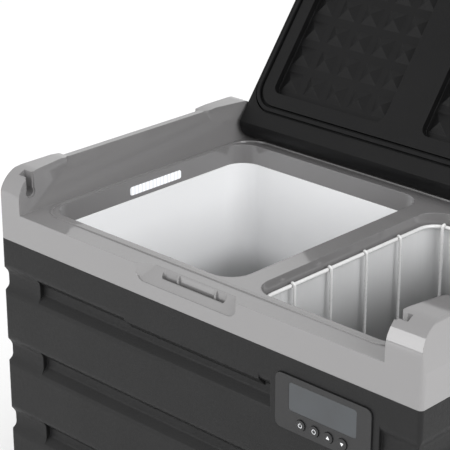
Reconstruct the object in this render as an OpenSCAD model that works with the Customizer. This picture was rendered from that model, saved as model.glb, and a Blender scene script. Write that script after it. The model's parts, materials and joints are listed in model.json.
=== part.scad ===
// Dual-zone compressor cooler: ribbed cabinet, two bins, a wire basket and a lift-off lid.
// Origin: centre of the footprint on the floor. X runs along the cabinet, -Y is the front, Z is up.
// At rest the lid stands open; closing turns it about the rear pins.

/* [Cabinet] */
// Depth of the cabinet, front to back
cab_w = 420; // [400:5:440]
// Height of the dark body shell
body_h = 340; // [330:5:380]
// Height of the rubber feet
foot_h = 9; // [8:1:12]
// Thickness of the base pan
pan_t = 3; // [3:1:4]
// Wall of the body shell
shell_t = 3; // [2.5:0.5:3.5]
// Depth of the grooves around the shell
groove_d = 5; // [4:0.5:6]
// Spacing of the grooves
groove_pitch = 96; // [90:1:100]

/* [Top frame] */
// Thickness of the left end wall
left_wall = 37; // [34:1:40]
// Thickness of the right end wall
right_wall = 48; // [44:1:52]
// Height of the ledge above the seam
ledge_h = 37.5; // [36:0.5:40]
// Height of the four ears above the seam
ear_h = 88; // [88:0.5:90]
// Radius of the round front and rear corners of the ears
ear_r = 34; // [30:1:36]

/* [Bins] */
// Length of the left bin
bin1_l = 304; // [290:2:320]
// Width of the divider between the bins
divider_w = 26; // [24:1:30]
// Length of the right bin
bin2_l = 209; // [200:1:215]
// Depth of the left bin below the seam
bin1_d = 265; // [240:5:270]
// Depth of the right bin below the seam
bin2_d = 170; // [150:5:172]
// Diameter of the basket's rim wire
rim_wire = 5; // [4:0.5:6]
// Diameter of the basket's other wires
basket_wire = 3.4; // [3:0.2:4]

/* [Lid] */
// Distance of the lid's pins from the front and rear faces
pin_inset = 19; // [19:0.5:20]
// Height of the pins above the seam
pin_h = 62.5; // [62.5:0.5:63.5]
// Radius of the lid's round edges
lid_r = 24.5; // [24:0.1:24.6]
// Opening angle of the lid
lid_open = 127; // [90:1:127]
// Diameter of the hinge pins
pin_d = 10.9; // [10.5:0.1:10.9]

/* [Hidden] */
$fn = 64;

// Clearance between moving parts, and between pieces that only sit side by side
gap = 0.3;
skim = 0.1;
// A little extra length that takes a cut cleanly through a face
over = 1;

bin_margin = 9;
right_margin = 7;
cab_l = left_wall + bin_margin + bin1_l + divider_w + bin2_l + right_margin + right_wall;
x_end = cab_l / 2;
y_end = cab_w / 2;
z_pan = foot_h;
z_base = foot_h + pan_t;
z_seam = z_base + body_h;
z_ledge = z_seam + ledge_h;
z_ear = z_seam + ear_h;
frame_r = 5;

// Inner faces of the end walls
x_wall_l = -x_end + left_wall;
x_wall_r = x_end - right_wall;

// Bin mouths in plan
bin1_x0 = x_wall_l + bin_margin;
bin1_x1 = bin1_x0 + bin1_l;
bin2_x0 = bin1_x1 + divider_w;
bin2_x1 = bin2_x0 + bin2_l;
bin_y0 = -y_end + 37;
bin1_y1 = y_end - 45;
bin2_y1 = y_end - 62;
bin1_r = 30;
bin2_r = 30;
z_collar1 = z_seam + 12;
z_collar2 = z_seam + 18;
z_bin1 = z_seam - bin1_d;
z_bin2 = z_seam - bin2_d;
liner_t = 2;
flange_w = 5;
flange_t = 1.5;

// Frame moulding
skin = 3.5;
collar_t = 3;
bead_w = 3;
bead_h = 1.2;
bead_inset = 26;

// Ears, the grip recess and the middle part of an end wall
ear_y = -y_end + ear_r;
ear_z = z_ear - ear_r;
ear_draft = 0.6;
ear_lean = 5.5;
ear_lean_y = 20;
ear_chamfer = 2.5;
ear_l = 76;
ear_ramp = 18;
mid_drop = 3.2;
mid_lean = 16;
mid_part = 0.68;
mid_run = 8;
mid_t = 10;
grip_z = z_seam + 44;

// Latch recess in both long rims
recess_x0 = -85;
recess_x1 = 71;
scoop_l = 22;
scoop_r = 12;
recess_z = z_seam + 18;
recess_in = 12;
slot_x0 = -49;
slot_x1 = 47.5;
slot_y0 = 6.4;
slot_y1 = 11.4;
slot_rib_x = [-26, 31];
slot_rib_t = 3;
slot_rib_d = 2.4;
slot_z = z_seam + 12;

// Keyholes for the lid's pins
keyhole_w = 11;
keyhole_slot = 8.6;
pocket_w = 12.6;
pocket_d = 3;
pin_reach = 15;
keyhole_d = 15.6;

// Grooves around the shell
groove_z = [for (i = [0:2]) z_seam - 54 - i * groove_pitch];
groove_half = 9;
groove_flank = 8.5;
groove_soft = 14;
bend_steps = 3;
channel_d = 11;
channel_x = 257;
channel_half = 6;
channel_soft = 5;
brow_x = 104;
brow_h = 4;

// Machine bay below the right bin
bay_x0 = 66;
bay_z = z_seam - 202;

// Lid, placed closed and then turned open about the rear pins
pivot_y = y_end - pin_inset;
pivot_z = z_seam + pin_h;
lid_x0 = x_wall_l + 0.5;
lid_x1 = x_wall_r - 0.5;
lid_rim_z = pivot_z - 21;
lid_t = 3;
rim_s = 8;
gasket_w = 10;
gasket_low = 3.5;
bulb_in = 2.2;
bulb_w = 4.6;
gasket_r = 38;
boss_r = 9;
boss_l = 24;
boss_end = 3;
front_pin_r = 3.3;
pin_flat = 8;
waffle_x = [[-250, -65], [-6, 179]];
waffle_s0 = 37;
waffle_s1 = 345;
waffle_d = 10;
pyramid_base = 29;
pyramid_h = 6.5;
pyramid_pitch = 37.6;

// Controls on the front face
panel_x = 195;
panel_z = z_seam - 52;
panel_l = 130;
panel_h = 64;
panel_d = 14;
button_r = 6;
button_pitch = 19;

// DC inlet on the right end
inlet_y = 150;
inlet_z = 252;
inlet_l = 40;
inlet_h = 28;

// Vents and the fan behind the right one
vent_z0 = z_base + 30;
vent_h = 110;
vent_l = 220;
rear_vent_x = 200;
rear_vent_l = 160;
pad_t = 14;
pad_rim = 9;
fan_x0 = x_end - 50;
fan_t = 25;
fan_r = 43;
hub_r = 17;
shaft_r = 1.5;
fan_y = 0;
fan_z = vent_z0 + vent_h / 2;
fan_frame_s = 94;
fan_screw = 41;
blades = 7;
blade_t = 2;
blade_l = 16;
blade_twist = 35;

// Grilles: louvre slots and screws
grille_t = 13;
slot_count = 8;
slot_h = 7;
slot_pitch = 11.5;
slot_side = 14;
screw_in = 7;
screw_r = 1.5;
screw_head_r = 3;

// Screws that hold the base pan to the shell
base_screw_in = 12;
base_screw_x = 110;
base_head_h = 2.2;

// Opening in the bottom of the shell, and the air slots in the pan below the compressor
base_lip = 20;
air_x0 = 120;
air_x1 = 280;
air_y0 = -80;
air_w = 8;
air_pitch = 20;

// Feet
foot_r = 20;
foot_in_x = 50;
foot_in_y = 45;

// Lamp on the left collar wall
lens_y = 5.5;
lens_z = z_seam + 23;
lens_l = 89;
lens_h = 11;
lamps = 8;
lamp_pitch = 10;
lamp_s = 3;

// Evaporator sheets and temperature probes
sheet_gap = 0.3;
sheet_t = 1.2;
probe_r = 3;
probe_l = 30;
probe_z1 = 160;
probe_z2 = 210;

// Compressor, its plate and its mounts
comp_x = 150;
comp_y = 95;
comp_r = 52;
comp_z = z_base + 13;
comp_h = 108;
dome_h = 24;
seam_t = 2;
plate_half = 60;
plate_t = 3;
mount_in = 48;
mount_spots = [for (x = [-mount_in, mount_in], y = [-mount_in, mount_in]) [comp_x + x, comp_y + y]];

// Condenser: fins across four rows of tube
cond_x0 = 222;
cond_l = 36;
cond_y0 = -70;
cond_y1 = 70;
cond_z0 = z_base + 14;
cond_h = 112;
fin_t = 0.8;
fin_pitch = 5;
coil_r = 3.5;
coil_pitch = 26;

// Filter dryer and the lines that join it
dryer_x = 92;
dryer_y = -10;
dryer_z = z_base + 30;
dryer_r = 9;
dryer_neck = 3;
line_r = 2.5;
capillary_r = 2;
line_y = 15;

// Inverter board, its parts and heat sink
inv_x0 = 150;
inv_x1 = 250;
inv_y0 = -150;
inv_y1 = -90;
inv_z = z_base + 24;
board_t = 1.6;
capacitor_r = 6;
capacitor_h = 18;
sink_y0 = -116;
sink_y1 = -98;
sink_fins = 11;
sink_pitch = 8;
sink_h = 24;

// Control panel: display window above a row of buttons
panel_face = -y_end - 2;
window_half = 46;
window_z0 = panel_z - 8;
window_z1 = panel_z + 25;
window_d = 1.5;
panel_wall = 3;
button_z = panel_z - 20;

// Handle bay in the lid's free edge, with the handle's pin near its upper edge
latch_x0 = -72;
latch_x1 = 59;
barrel_r = 5.5;
latch_angle = 35;
latch_y = -pivot_y - (lid_r - barrel_r) * cos(latch_angle);
latch_z = pivot_z + (lid_r - barrel_r) * sin(latch_angle);
latch_pin_r = 1.5;
bay_y = -pivot_y - 7;
handle_t = 5;
tongue_t = 3.2;
spring_x0 = -16;
spring_x1 = 3;

// Basket outline: wire centre line, 1 mm inside the liner
basket_in = 5;
bx0 = bin2_x0 + basket_in;
bx1 = bin2_x1 - basket_in;
by0 = bin_y0 + basket_in;
by1 = bin2_y1 - basket_in;
basket_r = bin2_r - 4;
basket_z = z_seam + 24.5 - rim_wire / 2;
lower_wire_z = z_bin2 + gap + basket_wire / 2;
upper_wire_z = lower_wire_z + 0.95 * basket_wire;
side_gap = 62;
side_shift = -5;
end_gap = 54;
upright_in = (rim_wire + basket_wire) / 2 + skim / 2;
upright_y = [for (i = [-1.5:1:1.5]) (by0 + by1) / 2 + side_shift + i * side_gap];
upright_x = [for (i = [-1.5:1:1.5]) (bx0 + bx1) / 2 + i * end_gap];

// A plan outline with round corners
module round_rect(x0, x1, y0, y1, r) {
    translate([x0 + r, y0]) square([x1 - x0 - 2 * r, y1 - y0]);
    translate([x0, y0 + r]) square([x1 - x0, y1 - y0 - 2 * r]);
    for (x = [x0 + r, x1 - r], y = [y0 + r, y1 - r]) {
        translate([x, y]) circle(r);
    }
}

// The same outline raised from z0 to z1
module slab(x0, x1, y0, y1, z0, z1, r) {
    translate([0, 0, z0]) linear_extrude(z1 - z0) round_rect(x0, x1, y0, y1, r);
}

// A box between two corners
module block(x0, x1, y0, y1, z0, z1) {
    translate([x0, y0, z0]) cube([x1 - x0, y1 - y0, z1 - z0]);
}

// A round bar along X
module bar_x(x0, x1, y, z, r) {
    translate([x0, y, z]) rotate([0, 90, 0]) cylinder(h = x1 - x0, r = r);
}

// A round bar along Y
module bar_y(y0, y1, x, z, r) {
    translate([x, y0, z]) rotate([-90, 0, 0]) cylinder(h = y1 - y0, r = r);
}

// A [y, z] outline carried along X
module along_x(x0, x1) {
    translate([x0, 0, 0]) rotate([90, 0, 90]) linear_extrude(x1 - x0) children();
}

// An [x, z] outline carried along Y
module along_y(y0, y1) {
    translate([0, y1, 0]) rotate([90, 0, 0]) linear_extrude(y1 - y0) children();
}

// The same piece at both long sides
module front_and_rear() {
    children();
    mirror([0, 1, 0]) children();
}

// Pieces of the lid are drawn closed and turned open here
module opened() {
    translate([0, pivot_y, pivot_z]) rotate([-lid_open, 0, 0])
        translate([0, -pivot_y, -pivot_z]) children();
}

// A block whose four sides follow a list of [inset, z] points and meet at mitred corners
module ribbed(rows) {
    intersection() {
        along_x(-x_end, x_end) both_sides(rows, y_end);
        along_y(-y_end, y_end) both_sides(rows, x_end);
    }
}

// The section of a ribbed block, half as wide as reach
module both_sides(rows, reach) {
    last = len(rows) - 1;
    polygon(concat([for (p = rows) [reach - p[0], p[1]]],
                   [for (i = [0:last]) [-reach + rows[last - i][0], rows[last - i][1]]]));
}

// The points of rows with every corner but the first two and the last one rounded to radius r
function soft(rows, r) = [for (i = [0:len(rows) - 1])
    each (i < 2 || i == len(rows) - 1 ? [rows[i]] : bend(rows[i - 1], rows[i], rows[i + 1], r))];

// Points on the arc of radius r that rounds the corner p between a and b
function bend(a, p, b, r) =
    let (u = (a - p) / norm(a - p), v = (b - p) / norm(b - p), half = acos(u * v) / 2,
         c = p + (u + v) / norm(u + v) * r / sin(half), turn = 180 - 2 * half,
         s = p + u * r / tan(half) - c, e = p + v * r / tan(half) - c)
    [for (k = [0:bend_steps])
        c + (s * sin((1 - k / bend_steps) * turn) + e * sin(k / bend_steps * turn)) / sin(turn)];

// One groove as [inset, z] points, from its lower edge to its upper edge
function groove(z, base, depth, half, flank) = [
    [base, z - half - flank], [depth, z - half], [depth, z + half], [base, z + half + flank]
];

module body_shell() {
    outer = soft(concat([[3, z_base], [0, z_base + 6]],
                        groove(groove_z[2], 0, groove_d, groove_half, groove_flank),
                        groove(groove_z[1], 0, groove_d, groove_half, groove_flank),
                        groove(groove_z[0], 0, groove_d, groove_half, groove_flank),
                        [[0, z_seam]]), groove_soft);
    inner = concat([[shell_t + 3, z_base + shell_t], [shell_t, z_base + shell_t + 6]],
                   groove(groove_z[2], shell_t, channel_d + shell_t, groove_half + 2, 9),
                   groove(groove_z[1], shell_t, channel_d + shell_t, groove_half + 2, 9),
                   groove(groove_z[0], shell_t, channel_d + shell_t, groove_half + 2, 9),
                   [[shell_t, z_seam + over]]);
    color("#3a3a3c") difference() {
        union() {
            difference() {
                intersection() {
                    ribbed(outer);
                    slab(-x_end, x_end, -y_end, y_end, z_base, z_seam, frame_r);
                }
                ribbed(inner);
                block(-x_end + base_lip, x_end - base_lip, -y_end + base_lip, y_end - base_lip,
                      z_base - over, z_base + base_lip);
                front_and_rear() for (z = groove_z) deep_channel(z);
            }
            pads();
            brow(groove_z[0]);
        }
        panel_hole();
        vent_hole();
        rear_hole();
        inlet_hole();
        for (p = screw_spots()) {
            translate([p[0], p[1], z_base - over]) cylinder(h = shell_t + 2 * over, r = screw_r);
        }
    }
}

// The deeper middle part of a groove on a long side
module deep_channel(z) {
    a = [-y_end - over, z - groove_half - groove_flank];
    b = [-y_end + channel_d, z - channel_half];
    c = [-y_end + channel_d, z + channel_half];
    d = [-y_end - over, z + groove_half + groove_flank];
    along_x(-channel_x, channel_x)
        polygon(concat([a], bend(a, b, c, channel_soft), bend(b, c, d, channel_soft), [d]));
}

// The front groove's upper edge comes lower along the middle of the front
module brow(z) {
    top = z + groove_half + groove_flank;
    along_x(-brow_x, brow_x)
        polygon([[-y_end, top + brow_h], [-y_end, top - brow_h],
                 [-y_end + channel_d, z + channel_half - brow_h],
                 [-y_end + channel_d, z + channel_half + brow_h]]);
}

// Flat pads that carry the control panel and the vent grilles across the grooves
module pads() {
    along_y(-y_end, -y_end + pad_t)
        round_rect(panel_x - panel_l / 2 - pad_rim, panel_x + panel_l / 2 + pad_rim,
                   panel_z - panel_h / 2 - pad_rim, panel_z + panel_h / 2 + pad_rim, 12);
    along_x(x_end - pad_t, x_end)
        round_rect(fan_y - vent_l / 2 - pad_rim, fan_y + vent_l / 2 + pad_rim,
                   vent_z0 - pad_rim, vent_z0 + vent_h + pad_rim, 12);
    along_y(y_end - pad_t, y_end)
        round_rect(rear_vent_x - rear_vent_l / 2 - pad_rim, rear_vent_x + rear_vent_l / 2 + pad_rim,
                   vent_z0 - pad_rim, vent_z0 + vent_h + pad_rim, 12);
}

module panel_hole() {
    along_y(-y_end - over, -y_end + 30)
        round_rect(panel_x - panel_l / 2 - 0.2, panel_x + panel_l / 2 + 0.2,
                   panel_z - panel_h / 2 - 0.2, panel_z + panel_h / 2 + 0.2, 8);
}

module vent_hole() {
    block(x_end - 30, x_end + over, fan_y - vent_l / 2, fan_y + vent_l / 2,
          vent_z0, vent_z0 + vent_h);
}

module rear_hole() {
    block(rear_vent_x - rear_vent_l / 2, rear_vent_x + rear_vent_l / 2,
          y_end - 30, y_end + over, vent_z0, vent_z0 + vent_h);
}

module inlet_hole() {
    block(x_end - 30, x_end + over, inlet_y - inlet_l / 2, inlet_y + inlet_l / 2,
          inlet_z - inlet_h / 2, inlet_z + inlet_h / 2);
}

function screw_spots() = [
    for (x = [-x_end + base_screw_in, -base_screw_x, base_screw_x, x_end - base_screw_in],
         y = [-y_end + base_screw_in, y_end - base_screw_in]) [x, y]
];

// Outline of the ears seen from the end: round towards the front and the rear
module ear_profile() {
    translate([ear_y, ear_z]) circle(ear_r, $fn = 128);
    translate([-ear_y, ear_z]) circle(ear_r, $fn = 128);
    translate([ear_y, ear_z]) square([-2 * ear_y, ear_r]);
    translate([-y_end, z_ledge - over]) square([cab_w, ear_z - z_ledge + over]);
}

// An end wall with two ears, drawn for the left end with base thickness t
module end_wall(t) {
    difference() {
        intersection() {
            along_x(-over, t + over) ear_profile();
            along_y(-y_end, y_end) polygon([
                [0, z_ledge - over], [t, z_ledge - over], [t - ear_draft, z_ear],
                [ear_lean + ear_chamfer, z_ear], [ear_lean, z_ear - ear_chamfer],
                [ear_draft, grip_z + 1], [0, grip_z - 4]
            ]);
        }
        // Leaning inner face between the ears
        intersection() {
            along_y(-y_end, y_end) polygon([
                [t, z_ledge], [t + over, z_ledge], [t + over, z_ear + over],
                [t - mid_lean - over, z_ear + over]
            ]);
            translate([0, 0, z_ledge - over]) linear_extrude(ear_h)
                mid_plan(t);
        }
        // Lower top between the ears
        along_x(-over, t + 2 * over) polygon([
            [-y_end + ear_l, z_ear + over], [-y_end + ear_l, z_ear + 0.01],
            [-y_end + ear_l + ear_ramp, z_ear - mid_drop],
            [y_end - ear_l - ear_ramp, z_ear - mid_drop],
            [y_end - ear_l, z_ear + 0.01], [y_end - ear_l, z_ear + over]
        ]);
        // Grip recess outside
        intersection() {
            along_y(-y_end, y_end) polygon([
                [-over, grip_z], [t - mid_t - 2, grip_z],
                [t - mid_t - mid_lean, z_ear + over], [-over, z_ear + over]
            ]);
            translate([0, 0, grip_z - over]) linear_extrude(ear_h)
                round_rect(-40, t, -y_end + ear_l + ear_ramp - 2, y_end - ear_l - ear_ramp + 2, 9);
        }
        front_and_rear() keyhole(t);
    }
}

// Plan outline of the middle stretch: the wall leans out more and more behind the keyhole
module mid_plan(t) {
    a = [for (p = [[-2, ear_lean_y], [0, ear_lean_y], [mid_lean * mid_part, ear_l + mid_run],
                   [mid_lean + 2, ear_l + ear_ramp]]) [t - p[0], -y_end + p[1]]];
    polygon(concat(a, [for (i = [3:-1:0]) [a[i][0], -a[i][1]]]));
}

// Slot that a lid pin drops into, with a shallow pocket around it
module keyhole(t) {
    bar_x(t - keyhole_d, t + over, pivot_y, pivot_z, keyhole_w / 2 + gap);
    block(t - keyhole_d, t + over, pivot_y - keyhole_slot / 2, pivot_y + keyhole_slot / 2,
          pivot_z, z_ear + over);
    bar_x(t - pocket_d, t + over, pivot_y, pivot_z, pocket_w / 2 + 1);
    block(t - pocket_d, t + over, pivot_y - pocket_w / 2, pivot_y + pocket_w / 2,
          pivot_z, z_ear + over);
}

// Scooped finger recess and the latch slot in a long rim
module latch_recess() {
    intersection() {
        along_y(-y_end - over, -y_end + recess_in + over)
            round_rect(recess_x0, recess_x1, recess_z, z_ledge + 20, 14);
        along_x(recess_x0 - over, recess_x1 + over) polygon([
            [-y_end - over, recess_z], [-y_end + 1, recess_z], [-y_end + 4, recess_z + 5],
            [-y_end + recess_in, z_ledge], [-y_end + recess_in, z_ledge + 20],
            [-y_end - over, z_ledge + 20]
        ]);
        // Both ends run out towards the front face
        translate([0, 0, recess_z - over]) linear_extrude(ledge_h) polygon([
            [recess_x0 - 1, -y_end - over], [recess_x0 + 1, -y_end],
            [recess_x0 + scoop_l, -y_end + recess_in], [recess_x0 + scoop_l, -y_end + 20],
            [recess_x1 - scoop_r, -y_end + 20], [recess_x1 - scoop_r, -y_end + recess_in],
            [recess_x1 - 1, -y_end], [recess_x1 + 1, -y_end - over]
        ]);
    }
    difference() {
        slab(slot_x0, slot_x1, -y_end + slot_y0, -y_end + slot_y1, slot_z, z_ledge + over, 2.4);
        for (x = slot_rib_x) {
            block(x - slot_rib_t / 2, x + slot_rib_t / 2, -y_end + slot_y1 - slot_rib_d,
                  -y_end + 20, slot_z - over, z_ledge + 2 * over);
        }
    }
}

module top_frame() {
    color("#a8a7a8") difference() {
        union() {
            slab(-x_end, x_end, -y_end, y_end, z_seam, z_ledge, frame_r);
            intersection() {
                slab(-x_end, x_end, -y_end, y_end, z_seam, z_ear + over, frame_r);
                union() {
                    translate([-x_end, 0, 0]) end_wall(left_wall);
                    translate([x_end, 0, 0]) mirror([1, 0, 0]) end_wall(right_wall);
                }
            }
            difference() {
                slab(x_wall_l + 4, x_wall_r - 4, -y_end + bead_inset, y_end - bead_inset,
                     z_ledge - over, z_ledge + bead_h, 34);
                slab(x_wall_l + 4 + bead_w, x_wall_r - 4 - bead_w, -y_end + bead_inset + bead_w,
                     y_end - bead_inset - bead_w, z_ledge - 2 * over, z_ledge + 2 * over, 31);
            }
        }
        slab(bin1_x0, bin1_x1, bin_y0, bin1_y1, z_seam - over, z_ledge + over, bin1_r);
        slab(bin2_x0, bin2_x1, bin_y0, bin2_y1, z_seam - over, z_ledge + over, bin2_r);
        frame_hollow();
        front_and_rear() latch_recess();
        lens_hole();
    }
}

// Space under the ledge, around the collars and the solid latch blocks
module frame_hollow() {
    difference() {
        slab(-x_end + skin, x_end - skin, -y_end + skin, y_end - skin,
             z_seam - over, z_ledge - skin, frame_r - skin);
        slab(bin1_x0 - collar_t, bin1_x1 + collar_t, bin_y0 - collar_t, bin1_y1 + collar_t,
             z_collar1, z_ledge, bin1_r + collar_t);
        slab(bin2_x0 - collar_t, bin2_x1 + collar_t, bin_y0 - collar_t, bin2_y1 + collar_t,
             z_collar2, z_ledge, bin2_r + collar_t);
        front_and_rear() block(recess_x0 - 7, recess_x1 + 7, -y_end, -y_end + 20,
                               z_seam - 2 * over, z_ledge);
    }
}

module lens_hole() {
    along_x(bin1_x0 - collar_t - over, bin1_x0 + over)
        round_rect(lens_y - lens_l / 2 - skim, lens_y + lens_l / 2 + skim,
                   lens_z - lens_h / 2 - skim, lens_z + lens_h / 2 + skim, 3);
}

module base_pan() {
    color("#2c2c2e") difference() {
        slab(-x_end + 6, x_end - 6, -y_end + 6, y_end - 6, z_pan, z_base, 12);
        for (p = screw_spots()) {
            translate([p[0], p[1], z_pan - over]) cylinder(h = pan_t + 2 * over, r = screw_r + 0.2);
        }
        for (i = [0:8]) {
            block(air_x0, air_x1, air_y0 + i * air_pitch - air_w / 2,
                  air_y0 + i * air_pitch + air_w / 2, z_pan - over, z_base + over);
        }
    }
}

module rubber_feet() {
    color("#1c1c1d") for (x = [-x_end + foot_in_x, x_end - foot_in_x],
                          y = [-y_end + foot_in_y, y_end - foot_in_y]) {
        translate([x, y, 0]) rotate_extrude() polygon([
            [0, 0], [foot_r - 4, 0], [foot_r - 2, 2], [foot_r, z_pan], [0, z_pan]
        ]);
    }
}

module cabinet_foam() {
    e = liner_t + 2;
    color("#e9dfb0") difference() {
        slab(-x_end + 15, x_end - 15, -y_end + 15, y_end - 15, z_base + 8, z_seam - 2, 10);
        slab(bin1_x0 + 1 - e, bin1_x1 - 1 + e, bin_y0 + 1 - e, bin1_y1 - 1 + e,
             z_bin1 - e, z_seam, bin1_r + e);
        slab(bin2_x0 + 1 - e, bin2_x1 - 1 + e, bin_y0 + 1 - e, bin2_y1 - 1 + e,
             z_bin2 - e, z_seam, bin2_r + e);
        block(bay_x0, x_end, -y_end, y_end, z_base, bay_z);
        block(panel_x - 76, panel_x + 76, -y_end, -y_end + 24, panel_z - 43, panel_z + 43);
        block(x_end - 34, x_end, inlet_y - 25, inlet_y + 25, inlet_z - 20, inlet_z + 20);
        probe_pockets();
    }
}

// A bin liner: inner size from the bin mouth, less 1 mm all round
module liner(x0, x1, y0, y1, z_floor, z_top, r) {
    difference() {
        union() {
            slab(x0 + 1 - liner_t, x1 - 1 + liner_t, y0 + 1 - liner_t, y1 - 1 + liner_t,
                 z_floor - liner_t, z_top - 0.2, r + liner_t);
            slab(x0 + 1 - liner_t - flange_w, x1 - 1 + liner_t + flange_w,
                 y0 + 1 - liner_t - flange_w, y1 - 1 + liner_t + flange_w,
                 z_top - 0.2 - flange_t, z_top - 0.2, r + liner_t + flange_w);
        }
        slab(x0 + 1, x1 - 1, y0 + 1, y1 - 1, z_floor, z_top + over, r);
    }
}

module left_liner() {
    color("#e6e7e8") liner(bin1_x0, bin1_x1, bin_y0, bin1_y1, z_bin1, z_collar1, bin1_r);
}

module right_liner() {
    color("#c8cacb") liner(bin2_x0, bin2_x1, bin_y0, bin2_y1, z_bin2, z_collar2, bin2_r);
}

// Evaporator sheet wrapped round a liner
module evaporator(x0, x1, y0, y1, z0, z1, r) {
    e = liner_t + sheet_gap;
    f = e + sheet_t;
    color("#b9bcc0") difference() {
        slab(x0 + 1 - f, x1 - 1 + f, y0 + 1 - f, y1 - 1 + f, z0, z1, r + f);
        slab(x0 + 1 - e, x1 - 1 + e, y0 + 1 - e, y1 - 1 + e, z0 - over, z1 + over, r + e);
    }
}

module left_evaporator() {
    evaporator(bin1_x0, bin1_x1, bin_y0, bin1_y1, z_bin1 + 20, z_seam - 50, bin1_r);
}

module right_evaporator() {
    evaporator(bin2_x0, bin2_x1, bin_y0, bin2_y1, z_bin2 + 10, z_seam - 50, bin2_r);
}

module led_lens() {
    color("#fbfdff") along_x(bin1_x0 - collar_t + 0.2, bin1_x0 + 0.6)
        round_rect(lens_y - lens_l / 2, lens_y + lens_l / 2,
                   lens_z - lens_h / 2, lens_z + lens_h / 2, 2.9);
}

module led_board() {
    x = bin1_x0 - collar_t;
    color("#e8e8e2") {
        block(x - 2.6, x - 1.4, lens_y - lens_l / 2 + 2.5, lens_y + lens_l / 2 - 2.5,
              lens_z - lens_h / 2 + 0.5, lens_z + lens_h / 2 - 0.5);
        for (i = [0:lamps - 1]) {
            y = lens_y + (i - (lamps - 1) / 2) * lamp_pitch;
            block(x - 1.4, x - 0.4, y - lamp_s / 2, y + lamp_s / 2,
                  lens_z - lamp_s / 2, lens_z + lamp_s / 2);
        }
    }
}

// Wells in the foam where the probes touch the liners
module probe_pockets() {
    half = probe_l / 2 + 7;
    block(bin1_x1 - 1, bin1_x1 + 12, -half, half, probe_z1 - 8, probe_z1 + 8);
    block(bin2_x0 - 12, bin2_x0 + 1, -half, half, probe_z2 - 8, probe_z2 + 8);
}

module temperature_probes() {
    off = liner_t + sheet_gap + sheet_t + probe_r + skim - 1;
    color("#d8d8d4") {
        bar_y(-probe_l / 2, probe_l / 2, bin1_x1 + off, probe_z1, probe_r);
        bar_y(-probe_l / 2, probe_l / 2, bin2_x0 - off, probe_z2, probe_r);
    }
}

module compressor() {
    color("#202124") translate([comp_x, comp_y, comp_z]) {
        rotate_extrude() polygon(concat(
            [[0, 0], [comp_r - 6, 0], [comp_r, 8], [comp_r, comp_h * 0.45],
             [comp_r + seam_t, comp_h * 0.45], [comp_r + seam_t, comp_h * 0.5],
             [comp_r, comp_h * 0.5]],
            [for (a = [0:15:90]) [comp_r * 0.4 + comp_r * 0.6 * cos(a),
                                  comp_h - dome_h + dome_h * sin(a)]],
            [[0, comp_h]]));
    }
    color("#303236") block(comp_x - 20, comp_x + 20, comp_y - comp_r - 14, comp_y - comp_r + 2,
                           comp_z + 60, comp_z + 92);
}

module compressor_base() {
    color("#5a5c60") difference() {
        slab(comp_x - plate_half, comp_x + plate_half, comp_y - plate_half, comp_y + plate_half,
             comp_z - plate_t, comp_z, 10);
        for (p = mount_spots) {
            translate([p[0], p[1], comp_z - plate_t - over])
                cylinder(h = plate_t + 2 * over, r = 5.2);
        }
    }
}

module compressor_mounts() {
    color("#1a1a1b") for (p = mount_spots) {
        translate([p[0], p[1], z_base]) rotate_extrude() polygon([
            [0, 0], [9, 0], [9, 9.8], [5, 9.8], [5, 13.2], [0, 13.2]
        ]);
    }
}

module condenser() {
    color("#b4b7ba") {
        for (i = [0:27]) {
            translate([cond_x0, cond_y0 + 2 + i * fin_pitch, cond_z0])
                cube([cond_l, fin_t, cond_h]);
        }
    }
    color("#b0703c") for (x = [cond_x0 + 10, cond_x0 + 26], i = [0:3]) {
        bar_y(cond_y0 + 1, cond_y1 - 1, x, cond_z0 + 16 + i * coil_pitch, coil_r);
    }
}

module filter_dryer() {
    color("#b0703c") translate([dryer_x, dryer_y, dryer_z]) rotate_extrude() polygon([
        [0, 0], [dryer_neck, 0], [dryer_neck, 8], [dryer_r, 18], [dryer_r, 78],
        [dryer_neck, 88], [dryer_neck, 96], [0, 96]
    ]);
}

// A tube of radius r through a list of points, with a slightly larger ball at each bend
module tube(points, r) {
    for (i = [1:len(points) - 1]) {
        a = points[i - 1];
        b = points[i];
        d = b - a;
        length = norm(d);
        turn = atan2(d[1], d[0]);
        translate(a) rotate([0, acos(d[2] / length), turn]) cylinder(h = length, r = r, $fn = 24);
    }
    for (i = [1:len(points) - 2]) {
        translate(points[i]) sphere(r + 0.3, $fn = 24);
    }
}

module refrigerant_lines() {
    color("#b0703c") {
        // Discharge line to the condenser
        tube([[comp_x - 30, comp_y - 62, 120], [comp_x - 30, line_y, 120],
              [cond_x0 - 7, line_y, 120], [cond_x0 - 7, line_y, 40],
              [cond_x0 - 0.2, line_y, 40]], line_r);
        // Line along the compressor to the dryer's lower end
        tube([[comp_x - 64, comp_y, 60], [dryer_x, comp_y, 60], [dryer_x, 30, 60],
              [dryer_x, 30, 30], [dryer_x, dryer_y, 30],
              [dryer_x, dryer_y, dryer_z - 0.2]], line_r);
        // Capillary from the dryer's upper end towards the bins
        tube([[dryer_x, dryer_y, dryer_z + 96.2], [dryer_x, dryer_y, 144],
              [dryer_x - 12, dryer_y, 144], [dryer_x - 12, 120, 144]], capillary_r);
    }
}

module fan_frame() {
    color("#1f1f21") difference() {
        along_x(fan_x0, fan_x0 + fan_t)
            round_rect(fan_y - fan_frame_s / 2, fan_y + fan_frame_s / 2,
                       fan_z - fan_frame_s / 2, fan_z + fan_frame_s / 2, 5);
        bar_x(fan_x0 - over, fan_x0 + fan_t + over, fan_y, fan_z, fan_r + 1.5);
        for (y = [-fan_screw, fan_screw], z = [-fan_screw, fan_screw]) {
            bar_x(fan_x0 - over, fan_x0 + fan_t + over, fan_y + y, fan_z + z, 2.2);
        }
    }
    color("#1f1f21") {
        for (a = [45:90:315]) {
            translate([fan_x0 + fan_t - 3, fan_y, fan_z]) rotate([a, 0, 0])
                translate([0, 16, -2.5]) cube([3, fan_r - 13, 5]);
        }
    }
}

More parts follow.
